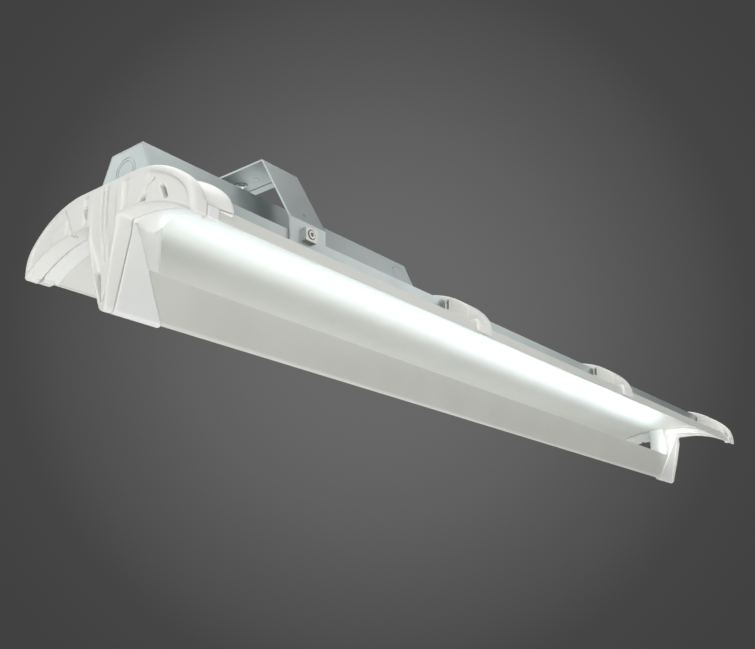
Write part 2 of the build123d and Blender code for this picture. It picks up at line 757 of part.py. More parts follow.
# Pan-head screw standing on a surface, head upward.
def make_screw(length):
    head = Cylinder(screw_head / 2, screw_head_height,
                    align=(Align.CENTER, Align.CENTER, Align.MIN))
    head = fillet(head.edges().sort_by(Axis.Z)[-1:], 0.6)
    shank = Cylinder(screw_shank / 2, length,
                     align=(Align.CENTER, Align.CENTER, Align.MAX))
    return head + shank


# Screw positions, shared by the holes and the screws.
def rib_screw_places():
    return [(sx * rib_offset, sy * 28.0) for sx in (-1, 1) for sy in (-1, 1)]


def end_screw_places():
    x = half_length - 40.0
    return [(sx * x, sy * 18.0) for sx in (-1, 1) for sy in (-1, 1)]


def box_screw_places():
    spots = (box_start + 18, (box_start + box_end) / 2, box_end - 18)
    return [(x, sy * (box_foot_half + box_foot / 2)) for x in spots for sy in (-1, 1)]


def driver_screw_places():
    reach = driver_length / 2 + driver_ear / 2
    return [(driver_centre_x - reach, 0), (driver_centre_x + reach, 0)]


def bar_screw_places():
    x = half_length - 49.0
    floor_top = bar_top + fit_gap + 3
    return [(sx * x, sy * 6.0, floor_top) for sx in (-1, 1) for sy in (-1, 1)]


def board_starts():
    return [-board_span / 2 + i * (board_length + board_gap) for i in range(board_count)]


def board_screw_places():
    z = bar_top - shelf_drop + board_thickness
    spots = []
    for x in board_starts():
        spots += [(x + 7.0, 0, z), (x + board_length - 7.0, 0, z)]
    return spots


# Boards along the shelf, with screw holes near their ends.
def make_boards():
    z0 = bar_top - shelf_drop
    boards = []
    for x in board_starts():
        board = block(x, x + board_length, -board_width / 2, board_width / 2,
                      z0, z0 + board_thickness)
        for hole_x in (x + 7.0, x + board_length - 7.0):
            board -= Pos(hole_x, 0, z0) * Cylinder(screw_shank / 2 + 0.1, 8)
        boards.append(board)
    return Compound(children=boards)


# LED packages in one row along each board.
def make_leds():
    z0 = bar_top - shelf_drop + board_thickness
    packages = []
    for x in board_starts():
        pitch = (board_length - 34.0) / (leds_per_board - 1)
        for i in range(leds_per_board):
            cx = x + 17.0 + i * pitch
            packages.append(block(cx - led_size / 2, cx + led_size / 2,
                                  -led_size / 2, led_size / 2, z0, z0 + led_height))
    return Compound(children=packages)


# Driver can with a screw ear at each end.
def make_driver():
    x0 = driver_centre_x - driver_length / 2
    x1 = driver_centre_x + driver_length / 2
    can = block(x0, x1, -driver_half_width, driver_half_width, 0, driver_height)
    can = fillet(can.edges().filter_by(Axis.X).group_by(Axis.Z)[-1], 3.0)
    ears = block(x0 - driver_ear, x1 + driver_ear, -14, 14, 0, 1.2)
    can = can + ears
    for x, y in driver_screw_places():
        can -= Pos(x, y, 0) * Cylinder(screw_shank / 2 + 0.1, 10)
    return can


# Terminal block with three wire entries and their screw wells.
def make_terminal():
    body = block(terminal_x - 12, terminal_x + 12, -18, 18, 0, 16)
    body = chamfer(body.edges().filter_by(Axis.Y).group_by(Axis.Z)[-1], 2.0)
    for y in (-11.0, 0.0, 11.0):
        body -= Pos(terminal_x, y, 16) * Cylinder(2.2, 9)
        body -= Pos(terminal_x - 12, y, 6) * Rot(0, 90, 0) * Cylinder(2.2, 14)
    return body


# Every screw of one kind as one group.
def make_screws(places, length):
    screws = []
    for x, y, z in places:
        screws.append(Pos(x, y, z) * make_screw(length))
    return Compound(children=screws)


# Screws of the end plates, driven through the spine's top into the plates' lips.
def plate_screw_places():
    near_x = box_start + 5.0
    far_x = box_end - 5.0
    return [(x, sy * 32.0) for x in (near_x, far_x) for sy in (-1, 1)]


def far_copy(shape):
    return mirror(shape, about=Plane.YZ)


def main():
    os.makedirs(part_folder, exist_ok=True)
    save(make_spine(), "spine_channel")
    save(make_reflector(), "reflector_sheet")
    save(make_bar(), "heat_sink_bar")
    save(make_boards(), "led_boards")
    save(make_leds(), "led_packages")
    cap = make_cap()
    save(cap, "near_end_cap")
    save(far_copy(cap), "far_end_cap")
    bracket = make_bracket()
    save(bracket, "near_end_bracket")
    save(far_copy(bracket), "far_end_bracket")
    save(make_rib(-rib_offset), "near_rib")
    save(make_rib(rib_offset), "far_rib")
    save(make_cover(), "driver_box_cover")
    save(make_plate(True), "driver_box_near_plate")
    save(make_plate(False), "driver_box_far_plate")
    save(make_knockout(), "box_knockout")
    save(make_hanger(), "hanger_bracket")
    for name, make in (("hanger_blocks", make_hanger_block),
                       ("hanger_bolts", make_hanger_bolt),
                       ("hanger_nuts", make_hanger_nut)):
        one = make()
        save(Compound(children=[one, mirror(one, about=Plane.XZ)]), name)
    save(make_driver(), "led_driver")
    save(make_terminal(), "terminal_block")
    strap_top = crown_height - 6
    save(make_screws([(x, y, strap_top) for x, y in rib_screw_places()], 10), "rib_screws")
    save(make_screws([(x, y, 0) for x, y in end_screw_places()], 5), "end_screws")
    save(make_screws([(x, y, box_sheet) for x, y in box_screw_places()], 5), "box_screws")
    save(make_screws([(x, y, box_sheet) for x, y in plate_screw_places()], 4), "plate_screws")
    save(make_screws(bar_screw_places(), 8), "bar_screws")
    save(make_screws(board_screw_places(), 4), "board_screws")
    save(make_screws([(x, y, 1.2) for x, y in driver_screw_places()], 4), "driver_screws")
    save(make_screws([(earth_place[0], earth_place[1], 0)], 4), "earth_screw")


main()
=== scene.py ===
import bpy
import math
from mathutils import Matrix, Vector


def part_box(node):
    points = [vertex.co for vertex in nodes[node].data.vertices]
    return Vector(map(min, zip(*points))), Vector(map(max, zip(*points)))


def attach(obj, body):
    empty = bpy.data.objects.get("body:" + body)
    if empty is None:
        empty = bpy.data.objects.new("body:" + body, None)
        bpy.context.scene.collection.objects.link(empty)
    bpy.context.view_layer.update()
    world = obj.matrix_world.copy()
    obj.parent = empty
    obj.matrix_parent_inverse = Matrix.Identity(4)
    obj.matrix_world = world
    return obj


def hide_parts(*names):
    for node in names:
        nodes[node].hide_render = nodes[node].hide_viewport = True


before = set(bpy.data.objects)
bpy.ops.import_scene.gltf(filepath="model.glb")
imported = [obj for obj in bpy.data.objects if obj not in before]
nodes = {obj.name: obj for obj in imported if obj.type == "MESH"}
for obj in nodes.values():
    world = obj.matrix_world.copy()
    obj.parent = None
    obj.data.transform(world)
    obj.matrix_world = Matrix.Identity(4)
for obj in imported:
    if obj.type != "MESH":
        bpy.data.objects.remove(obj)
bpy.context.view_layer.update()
print("frame loaded:", len(nodes), "nodes")

mergeGap = 0.00001  # corners closer than this become one
tintStops = (0.3, 0.7)  # where a clouded tint starts and ends its change
smoothShare = 0.5  # how far one smoothing pass moves a corner toward its neighbours
ringRadius = 0.01  # of an outline, before its corners are moved to their places
cutterWide = 0.2  # reach of a cutter past a piece, sideways and down
cutterLong = 0.1  # reach of a cutter up, or along the light
cutterFront = 0.01  # reach of a cutter in front of an end face, or past the middle


def clearSelection():
    if bpy.context.object and bpy.context.object.mode != "OBJECT":
        bpy.ops.object.mode_set(mode="OBJECT")
    bpy.ops.object.select_all(action="DESELECT")


def setRamp(ramp, stops):
    while len(ramp.elements) < len(stops):
        ramp.elements.new(0.5)
    for element, (place, colour) in zip(ramp.elements, stops):
        element.position = place
        element.color = (*colour, 1.0)


# one node graph per finish, with a short way to add and wire its nodes
class Finish:
    def __init__(self, name, **sockets):
        self.material = bpy.data.materials.new(name)
        self.material.use_nodes = True
        self.tree = self.material.node_tree
        self.shader = self.tree.nodes["Principled BSDF"]
        for key, value in sockets.items():
            self.shader.inputs[key].default_value = value
        self.coords = self.add("ShaderNodeTexCoord")

    def add(self, kind):
        return self.tree.nodes.new(kind)

    def link(self, source, target):
        self.tree.links.new(source, target)

    def stretched(self, scale):
        mapping = self.add("ShaderNodeMapping")
        mapping.inputs["Scale"].default_value = scale
        self.link(self.coords.outputs["Object"], mapping.inputs["Vector"])
        return mapping.outputs["Vector"]

    def noise(self, scale, detail=3.0, rough=0.55, stretch=None):
        node = self.add("ShaderNodeTexNoise")
        node.inputs["Scale"].default_value = scale
        node.inputs["Detail"].default_value = detail
        node.inputs["Roughness"].default_value = rough
        source = self.stretched(stretch) if stretch else self.coords.outputs["Object"]
        self.link(source, node.inputs["Vector"])
        return node.outputs["Fac"]

    def tint(self, value, low, high):
        node = self.add("ShaderNodeValToRGB")
        setRamp(node.color_ramp, list(zip(tintStops, (low, high))))
        self.link(value, node.inputs["Fac"])
        self.link(node.outputs["Color"], self.shader.inputs["Base Color"])
        return node.outputs["Color"]

    def roughen(self, value, low, high):
        node = self.add("ShaderNodeMapRange")
        node.inputs["To Min"].default_value = low
        node.inputs["To Max"].default_value = high
        self.link(value, node.inputs["Value"])
        self.link(node.outputs["Result"], self.shader.inputs["Roughness"])

    def bump(self, height, strength, distance):
        node = self.add("ShaderNodeBump")
        node.inputs["Strength"].default_value = strength
        node.inputs["Distance"].default_value = distance
        self.link(height, node.inputs["Height"])
        self.link(node.outputs["Normal"], self.shader.inputs["Normal"])


# smooth zinc coat: soft clouds, duller patches and a faint grain from the rolls
zincLook = {
    "metal": 0.85,
    "dark": (0.49, 0.545, 0.54),
    "light": (0.58, 0.64, 0.635),
    "cloudScale": 9.0,
    "cloudDetail": 4.0,
    "patchScale": 70.0,
    "roughLow": 0.36,
    "roughHigh": 0.46,
    "grainStretch": (6.0, 900.0, 900.0),
    "grainDetail": 3.0,
    "grainRough": 0.6,
    "grainStrength": 0.08,
    "grainDepth": 0.0001,
}


def makeZinc(look):
    finish = Finish("zincSheet", Metallic=look["metal"])
    cloud = finish.noise(look["cloudScale"], look["cloudDetail"])
    finish.tint(cloud, look["dark"], look["light"])
    patches = finish.noise(look["patchScale"], look["cloudDetail"])
    finish.roughen(patches, look["roughLow"], look["roughHigh"])
    grain = finish.noise(1.0, look["grainDetail"], look["grainRough"], look["grainStretch"])
    finish.bump(grain, look["grainStrength"], look["grainDepth"])
    return finish.material


# painted or moulded whites share one recipe at different tints and grains
whiteLooks = {
    "shadeWhite": {"low": (0.75, 0.76, 0.71), "high": (0.79, 0.80, 0.75), "rough": 0.34,
                   "grain": 900.0, "depth": 0.00003},
    "barWhite": {"low": (0.72, 0.73, 0.68), "high": (0.76, 0.77, 0.72), "rough": 0.42,
                 "grain": 700.0, "depth": 0.00004},
    "capWhite": {"low": (0.92, 0.92, 0.88), "high": (0.95, 0.95, 0.91), "rough": 0.42,
                 "grain": 620.0, "depth": 0.00004},
    "bracketWhite": {"low": (0.92, 0.93, 0.91), "high": (0.95, 0.96, 0.94), "rough": 0.36,
                     "grain": 620.0, "depth": 0.00004},
    "boardWhite": {"low": (0.76, 0.77, 0.74), "high": (0.82, 0.83, 0.80), "rough": 0.35,
                   "grain": 1400.0, "depth": 0.00002},
    "driverWhite": {"low": (0.68, 0.70, 0.70), "high": (0.74, 0.76, 0.76), "rough": 0.4,
                    "grain": 600.0, "depth": 0.00005},
    "nylon": {"low": (0.66, 0.66, 0.61), "high": (0.74, 0.74, 0.69), "rough": 0.5,
              "grain": 500.0, "depth": 0.00006},
}
whiteRecipe = {
    "cloudScale": 14.0,
    "cloudDetail": 4.0,
    "patchScale": 60.0,
    "smoother": 0.04,  # below and above the tabled roughness
    "rougher": 0.06,
    "grainStrength": 0.2,
}


def makeWhite(name, look, recipe):
    finish = Finish(name)
    cloud = finish.noise(recipe["cloudScale"], recipe["cloudDetail"])
    finish.tint(cloud, look["low"], look["high"])
    patches = finish.noise(recipe["patchScale"])
    finish.roughen(patches, look["rough"] - recipe["smoother"], look["rough"] + recipe["rougher"])
    finish.bump(finish.noise(look["grain"]), recipe["grainStrength"], look["depth"])
    return finish.material


# bright metals: plated steel for screws and clamps, brass for the earth screw
metalLooks = {
    "platedSteel": {"low": (0.50, 0.50, 0.48), "high": (0.62, 0.62, 0.60),
                    "rough": (0.25, 0.42), "pits": 0.00005},
    "earthBrass": {"low": (0.48, 0.38, 0.16), "high": (0.60, 0.48, 0.22),
                   "rough": (0.30, 0.45), "pits": None},
}
metalRecipe = {
    "metal": 0.9,
    "tintScale": 220.0,
    "roughScale": 500.0,
    "pitScale": 900.0,
    "pitStrength": 0.2,
}


def makeMetal(name, look, recipe):
    finish = Finish(name, Metallic=recipe["metal"])
    finish.tint(finish.noise(recipe["tintScale"]), look["low"], look["high"])
    finish.roughen(finish.noise(recipe["roughScale"]), *look["rough"])
    if look["pits"]:
        finish.bump(finish.noise(recipe["pitScale"]), recipe["pitStrength"], look["pits"])
    return finish.material


# yellow phosphor of the LED packages, lit
lensLook = {
    "rough": 0.25,
    "tintScale": 900.0,
    "low": (0.90, 0.82, 0.50),
    "high": (0.98, 0.92, 0.62),
    "strength": 2.0,
}


def makeLens(look):
    finish = Finish("ledLens", Roughness=look["rough"])
    tint = finish.tint(finish.noise(look["tintScale"]), look["low"], look["high"])
    finish.link(tint, finish.shader.inputs["Emission Color"])
    finish.shader.inputs["Emission Strength"].default_value = look["strength"]
    return finish.material


finishes = {"zincSheet": makeZinc(zincLook), "ledLens": makeLens(lensLook)}
for name, look in whiteLooks.items():
    finishes[name] = makeWhite(name, look, whiteRecipe)
for name, look in metalLooks.items():
    finishes[name] = makeMetal(name, look, metalRecipe)
print("finishes made:", len(finishes))

nodesOfFinish = {
    "zincSheet": ["spine_channel", "driver_box_cover", "driver_box_near_plate",
                  "driver_box_far_plate", "box_knockout", "hanger_bracket"],
    "platedSteel": ["hanger_blocks", "hanger_bolts", "hanger_nuts", "board_screws",
                    "rib_screws", "end_screws", "bar_screws", "box_screws", "plate_screws",
                    "driver_screws"],
    "shadeWhite": ["reflector_sheet"],
    "barWhite": ["heat_sink_bar"],
    "capWhite": ["near_end_cap", "far_end_cap", "near_rib", "far_rib"],
    "bracketWhite": ["near_end_bracket", "far_end_bracket"],
    "boardWhite": ["led_boards"],
    "ledLens": ["led_packages"],
    "driverWhite": ["led_driver"],
    "nylon": ["terminal_block"],
    "earthBrass": ["earth_screw"],
}

for finishName, nodeNames in nodesOfFinish.items():
    for nodeName in nodeNames:
        for place in nodes[nodeName].material_slots:
            place.material = finishes[finishName]
print("nodes dressed:", sum(len(nodeNames) for nodeNames in nodesOfFinish.values()))


def startMesh(piece):
    clearSelection()
    piece.select_set(True)
    bpy.context.view_layer.objects.active = piece


def startEdit(piece):
    startMesh(piece)
    bpy.ops.object.mode_set(mode="EDIT")
    bpy.ops.mesh.select_all(action="SELECT")


def copyObject(source, name):
    piece = source.copy()
    piece.data = source.data.copy()
    piece.name = name
    bpy.context.scene.collection.objects.link(piece)
    return piece


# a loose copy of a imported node, with its triangles merged
def copyNode(nodeName, pieceName):
    piece = copyObject(nodes[nodeName], pieceName)
    piece.parent = None
    piece.matrix_world = Matrix.Identity(4)
    startEdit(piece)
    bpy.ops.mesh.remove_doubles(threshold=mergeGap)
    bpy.ops.mesh.normals_make_consistent(inside=False)
    bpy.ops.object.mode_set(mode="OBJECT")
    return piece


def applyModifier(piece, kind, **values):
    startMesh(piece)
    step = piece.modifiers.new("step", kind)
    for key, value in values.items():
        setattr(step, key, value)
    bpy.ops.object.modifier_apply(modifier=step.name)


# cut one piece with another, or keep only what both share, then drop the tool
def carve(piece, tool, operation="DIFFERENCE"):
    applyModifier(piece, "BOOLEAN", object=tool, operation=operation, solver="EXACT")
    bpy.data.objects.remove(tool, do_unlink=True)


# the same form again on the other side of the light
def addOtherSide(piece):
    applyModifier(piece, "MIRROR", use_axis=(False, True, False), use_mirror_merge=False)


def joinInto(piece, others):
    clearSelection()
    for part in (*others, piece):
        part.select_set(True)
    bpy.context.view_layer.objects.active = piece
    bpy.ops.object.join()


# name the new form and fix its place, turn and size in its mesh
def settle(name):
    form = bpy.context.object
    form.name = name
    bpy.ops.object.transform_apply(location=True, rotation=True, scale=True)
    return form


def addBox(name, low, high):
    clearSelection()
    bpy.ops.mesh.primitive_cube_add(size=1, location=(Vector(low) + Vector(high)) / 2)
    bpy.context.object.scale = Vector(high) - Vector(low)
    return settle(name)


# a cylinder, lying along X or Y
def addDrum(name, radius, length, middle, axis, sides):
    clearSelection()
    turn = {"X": (0, math.pi / 2, 0), "Y": (math.pi / 2, 0, 0)}[axis]
    bpy.ops.mesh.primitive_cylinder_add(vertices=sides, radius=radius, depth=length,
                                        location=middle, rotation=turn)
    return settle(name)


# box between two points of the end view, its sides along the line that joins them
def addLeaning(name, first, last, width, nearX, farX):
    lean = math.atan2(first[0] - last[0], first[1] - last[1])
    length = math.hypot(first[0] - last[0], first[1] - last[1])
    form = addBox(name, (nearX, -width / 2, -length / 2), (farX, width / 2, length / 2))
    form.rotation_euler = (-lean, 0, 0)
    form.location = (0, (first[0] + last[0]) / 2, (first[1] + last[1]) / 2)
    return settle(name)


# a flat outline across Y: a filled ring of points, each moved to its place
def outlineFace(name, points, y):
    clearSelection()
    bpy.ops.mesh.primitive_circle_add(vertices=len(points), radius=ringRadius,
                                      fill_type="NGON")
    piece = bpy.context.object
    piece.name = name
    bpy.ops.object.mode_set(mode="EDIT")
    for number, (x, z) in enumerate(points):
        bpy.ops.mesh.select_all(action="DESELECT")
        bpy.ops.object.mode_set(mode="OBJECT")
        corner = piece.data.vertices[number]
        corner.select = True
        move = Vector((x, y, z)) - corner.co
        bpy.ops.object.mode_set(mode="EDIT")
        bpy.ops.transform.translate(value=move)
    bpy.ops.mesh.select_all(action="SELECT")
    bpy.ops.object.mode_set(mode="OBJECT")
    return piece


# even mesh all over, rounded edges, then fewer faces where it is flat
def soften(piece, voxel, passes, keep):
    applyModifier(piece, "REMESH", mode="VOXEL", voxel_size=voxel)
    applyModifier(piece, "SMOOTH", factor=smoothShare, iterations=passes)
    applyModifier(piece, "DECIMATE", ratio=keep)
    bpy.ops.object.shade_smooth()


def standFor(piece, nodeName, finishName):
    piece.data.materials.clear()
    piece.data.materials.append(finishes[finishName])
    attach(piece, "root")
    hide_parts(nodeName)
    print("made", piece.name, len(piece.data.polygons))


# end cap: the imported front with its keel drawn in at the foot, and a skirt on each
# side that dips behind the front rim and swells again to its closed end. Depths
# count from the end face and insets from the crown. A point is (across, height), and
# a corner is (depth, across, height).
capLook = {
    "shoulderRadius": 0.102,
    "shoulderAngle": 45,
    "shoulderSteps": 24,
    "earRadius": 0.0355,
    "earSteps": 20,
    "frontDepth": 0.0165,
    "bowRadius": 0.508,  # of the face that draws the keel in
    "bowHeight": -0.020,
    "bowSides": 512,
    "skirtInner": 0.057,
    "skirtFoot": -0.0398,
    "wall": 0.0070,
    # depth and inset of each point along the skirt's crown
    "saddle": [(0.0100, 0.0012), (0.0130, 0.0008), (0.0150, 0.0024), (0.0175, 0.0036),
               (0.0215, 0.0039), (0.0260, 0.0034), (0.0310, 0.0024), (0.0360, 0.0013),
               (0.0410, 0.0004), (0.0440, 0.0001), (0.0458, 0.0005), (0.0465, 0.0014)],
    "endWall": 0.0032,
    "endSet": 0.0002,  # end wall in front of the skirt's last edge
    "endSink": 0.001,
    "endDeep": 0.030,
    "spineHalf": 0.0728,  # room that the end wall leaves for spine, sheet and lip
    "spineTop": 0.0004,
    "shadeRadius": 0.1084,
    "shadeAcross": 0.038,
    "shadeHeight": -0.1224,
    "shadeSides": 256,
    "lipHalf": 0.1149,
    "lipTop": -0.0358,
    "slotWidth": 0.0025,
    "slotTop": (0.0107, -0.068),
    "slotFoot": (0.0011, -0.098),
    "slotDepth": 0.0150,
    "grooveAcross": 0.0031,
    "grooveWidth": 0.0026,
    "grooveDepth": 0.0070,
    "grooveTop": 0.007,
    "grooveFoot": -0.060,
    "fillFrom": (0.0053, 0.0077),
    "fillForward": 0.0028,
    "fillShrink": 0.985,
    "fillCentre": -0.03,
    "fillInner": 0.0240,
    "earBlock": ((0.0100, 0.1151, -0.0500), (0.0169, 0.1179, -0.0370)),
    # first point, last point, width and depth of each
    "pockets": [((0.0295, -0.0030), (0.0262, -0.0160), 0.0055, 0.0088),
                ((0.0495, -0.0205), (0.0470, -0.0260), 0.0042, 0.0085),
                ((-0.0755, -0.0130), (-0.0820, -0.0275), 0.0037, 0.0120),
                ((-0.0650, -0.0030), (-0.0580, -0.0100), 0.0024, 0.0080),
                ((-0.0580, -0.0100), (-0.0500, -0.0180), 0.0024, 0.0070),
                ((-0.0480, -0.0195), (-0.0550, -0.0205), 0.0042, 0.0085)],
    # near and far corner of the seam at the skirt's foot, then of the one by the tab
    "slits": [((0.0170, 0.1130, -0.0390), (0.0480, 0.1200, -0.0376)),
              ((0.0150, 0.1150, -0.0520), (0.0164, 0.1200, -0.0376))],
    "voxel": 0.0008,
    "passes": 6,
    "keep": 0.6,
    "smoothAngle": 50,
}


# an outline swept round the shoulder and then the ear of the cap, on the -Y side
def sweepSkirt(name, points, look, crown, halfWidth):
    bend = math.radians(look["shoulderAngle"])
    rise = look["shoulderRadius"] - look["earRadius"]
    flat = halfWidth - look["earRadius"] - rise * math.cos(bend)
    ring = outlineFace(name, points, -flat)
    bpy.ops.object.mode_set(mode="EDIT")
    centre = (0, -flat, crown - look["shoulderRadius"])
    bpy.ops.mesh.spin(steps=look["shoulderSteps"], angle=-bend, center=centre, axis=(1, 0, 0))
    low = crown - look["shoulderRadius"] + rise * math.sin(bend)
    centre = (0, -flat - rise * math.cos(bend), low)
    last = bend - math.asin((look["skirtFoot"] - low) / look["earRadius"])
    bpy.ops.mesh.spin(steps=look["earSteps"], angle=-last, center=centre, axis=(1, 0, 0))
    bpy.ops.mesh.select_all(action="SELECT")
    bpy.ops.mesh.remove_doubles(threshold=mergeGap)
    bpy.ops.mesh.bisect(plane_co=(0, -look["skirtInner"], 0), plane_no=(0, 1, 0),
                        use_fill=True, clear_outer=True)
    bpy.ops.mesh.select_all(action="SELECT")
    bpy.ops.mesh.normals_make_consistent(inside=False)
    bpy.ops.object.mode_set(mode="OBJECT")
    return ring


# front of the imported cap, bowed, with slots in the keel's sides and twin grooves
def makeFront(look, front):
    cap = copyNode("near_end_cap", "nearCapShell")
    room = addBox("frontForm", (front - cutterFront, -cutterWide, -cutterWide),
                  (front + look["frontDepth"], cutterWide, cutterLong))
    carve(cap, room, "INTERSECT")
    bow = addDrum("bowForm", look["bowRadius"], 2 * cutterWide,
                  (front + look["bowRadius"], 0, look["bowHeight"]), "Y", look["bowSides"])
    carve(cap, bow, "INTERSECT")
    top, foot = look["slotTop"], look["slotFoot"]
    half = look["grooveWidth"] / 2
    for side in (-1, 1):
        slot = addLeaning("slotForm", (side * top[0], top[1]), (side * foot[0], foot[1]),
                          look["slotWidth"], front - cutterFront, front + look["slotDepth"])
        carve(cap, slot)
        middle = side * look["grooveAcross"]
        groove = addBox("grooveForm", (front - cutterFront, middle - half, look["grooveFoot"]),
                        (front + look["grooveDepth"], middle + half, look["grooveTop"]))
        carve(cap, groove)
    return cap


# shallower floor for the sunk wings: a slice of the shell, brought forward
def makeWingFloor(look, front):
    floor = copyNode("near_end_cap", "wingFloorForm")
    near, far = look["fillFrom"]
    room = addBox("sliceForm", (front + near, look["fillInner"], -cutterWide),
                  (front + far, cutterWide, cutterLong))
    carve(floor, room, "INTERSECT")
    startEdit(floor)
    bpy.ops.transform.translate(value=(-look["fillForward"], 0, 0))
    shrink = look["fillShrink"]
    bpy.ops.transform.resize(value=(1, shrink, shrink),
                             center_override=(0, 0, look["fillCentre"]))
    bpy.ops.object.mode_set(mode="OBJECT")
    return floor


# block between two corners of (depth, across, height), on the -Y side
def addSideBlock(name, front, near, far):
    return addBox(name, (front + near[0], -far[1], near[2]),
                  (front + far[0], -near[1], far[2]))


def makeSkirt(look, front, crown, halfWidth):
    outer = [(front + depth, crown - inset) for depth, inset in look["saddle"]]
    inner = [(outer[-1][0], crown - look["wall"]), (outer[0][0], crown - look["wall"])]
    return sweepSkirt("skirtForm", outer + inner, look, crown, halfWidth)


# closed end of the skirt, with room for the spine, the sheet and its lip
def makeEndWall(look, front, crown, halfWidth):
    back = front + look["saddle"][-1][0]
    nearX, farX = back - look["endWall"], back - look["endSet"]
    top, foot = crown - look["endSink"], crown - look["endDeep"]
    plate = [(nearX, top), (farX, top), (farX, foot), (nearX, foot)]
    wall = sweepSkirt("endWallForm", plate, look, crown, halfWidth)
    carve(wall, addBox("spineForm", (front, -look["spineHalf"], -cutterLong),
                       (front + cutterLong, cutterFront, look["spineTop"])))
    carve(wall, addDrum("shadeForm", look["shadeRadius"], cutterWide + cutterLong,
                        (front, -look["shadeAcross"], look["shadeHeight"]), "X",
                        look["shadeSides"]))
    carve(wall, addBox("lipForm", (front, -look["lipHalf"], -cutterLong),
                       (front + cutterLong, cutterFront, look["lipTop"])))
    return wall


def makeCap(look):
    low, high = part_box("near_end_cap")
    front, halfWidth, crown = low[0], high[1], high[2]
    cap = makeFront(look, front)
    wingFloor = makeWingFloor(look, front)
    ear = addSideBlock("earForm", front, *look["earBlock"])
    skirt = makeSkirt(look, front, crown, halfWidth)
    wall = makeEndWall(look, front, crown, halfWidth)
    parts = (skirt, wall, wingFloor, ear)
    for part in parts:
        addOtherSide(part)
    joinInto(cap, parts)
    soften(cap, look["voxel"], 1, 1.0)
    for first, last, width, depth in look["pockets"]:
        carve(cap, addLeaning("pocketForm", first, last, width,
                              front - cutterFront, front + depth))
    soften(cap, look["voxel"], look["passes"], look["keep"])
    for near, far in look["slits"]:
        slit = addSideBlock("slitForm", front, near, far)
        addOtherSide(slit)
        carve(cap, slit)
    startMesh(cap)
    bpy.ops.object.shade_smooth_by_angle(angle=math.radians(look["smoothAngle"]))
    return cap


# the same moulding, mirrored to the far end
def mirrorCap(nearCap):
    farCap = copyObject(nearCap, "farCapShell")
    startEdit(farCap)
    bpy.ops.transform.resize(value=(-1, 1, 1), center_override=(0, 0, 0))
    bpy.ops.mesh.normals_make_consistent(inside=False)
    bpy.ops.object.mode_set(mode="OBJECT")
    return farCap


nearCap = makeCap(capLook)
farCap = mirrorCap(nearCap)
standFor(nearCap, "near_end_cap", "capWhite")
standFor(farCap, "far_end_cap", "capWhite")


# inner brackets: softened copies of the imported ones
bracketLook = {
    "voxel": 0.0010,
    "passes": 2,
    "keep": 0.5,
}


def makeBracket(nodeName, pieceName, look):
    bracket = copyNode(nodeName, pieceName)
    soften(bracket, look["voxel"], look["passes"], look["keep"])
    standFor(bracket, nodeName, "bracketWhite")


makeBracket("near_end_bracket", "nearBracketShell", bracketLook)
makeBracket("far_end_bracket", "farBracketShell", bracketLook)


# rib clip: its face turns back past a fold, so that the outer edge is thin, and the
# tab at each foot keeps the full width
ribLook = {
    "fold": 0.1033,
    "edge": 0.0050,
    "outer": 0.1185,
    "tabTop": -0.0310,
    "wedgeReach": 0.06,
    "wedgeTop": 0.05,
    "earRadius": 0.0355,
    "earDrop": 0.0550,
    "earSides": 96,
    "fillInner": 0.0980,  # solid corner behind the turned face
    "fillInset": 0.0012,
    "slotAcross": 0.0762,
    "slotTop": -0.0004,
    "slotFoot": -0.0112,
    "slotWidth": 0.0034,
    "slotDepth": 0.0100,
    "voxel": 0.0010,
    "passes": 2,
    "keep": 0.5,
}


# cutter whose inner side runs from the fold back to the thin edge
def addWedge(look, low, high, side):
    reach = side * look["wedgeReach"]
    wedge = addBox("wedgeForm", (-cutterFront, min(0, reach), look["tabTop"]),
                   (look["wedgeReach"], max(0, reach), look["wedgeTop"]))
    turn = math.atan2(look["outer"] - look["fold"], high[0] - look["edge"] - low[0])
    wedge.rotation_euler = (0, 0, side * turn)
    wedge.location = (low[0], side * look["fold"], 0)
    return settle("wedgeForm")


# solid corner inside the hollow rib, from the drum of its ear
def addCorner(look, low, high):
    inset = look["fillInset"]
    middle = ((low[0] + high[0]) / 2, look["earRadius"] - high[1], high[2] - look["earDrop"])
    corner = addDrum("cornerForm", look["earRadius"] - inset, high[0] - low[0] - 2 * inset,
                     middle, "X", look["earSides"])
    room = addBox("roomForm", (low[0], -look["outer"], look["tabTop"]),
                  (high[0], -look["fillInner"], 0))
    carve(corner, room, "INTERSECT")
    carve(corner, addWedge(look, low, high, -1))
    addOtherSide(corner)
    return corner


def makeRib(nodeName, pieceName, look):
    low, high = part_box(nodeName)
    rib = copyNode(nodeName, pieceName)
    corner = addCorner(look, low, high)
    for side in (-1, 1):
        carve(rib, addWedge(look, low, high, side))
        across = side * look["slotAcross"]
        slot = addLeaning("ribSlotForm", (across, look["slotTop"]), (across, look["slotFoot"]),
                          look["slotWidth"], low[0] - cutterFront, low[0] + look["slotDepth"])
        carve(rib, slot)
    joinInto(rib, [corner])
    soften(rib, look["voxel"], look["passes"], look["keep"])
    standFor(rib, nodeName, "capWhite")


makeRib("near_rib", "nearRibClip", ribLook)
makeRib("far_rib", "farRibClip", ribLook)


# pale floor, well below a light that hangs
floorLook = {
    "height": -2.2,
    "size": 14.0,
    "colour": (0.62, 0.62, 0.61, 1.0),
    "rough": 0.8,
}


def makeFloor(look):
    clearSelection()
    bpy.ops.mesh.primitive_plane_add(size=look["size"], location=(0, 0, look["height"]))
    floor = settle("studioFloor")
    paint = Finish("floorPaint", Roughness=look["rough"])
    paint.shader.inputs["Base Color"].default_value = look["colour"]
    floor.data.materials.append(paint.material)


makeFloor(floorLook)

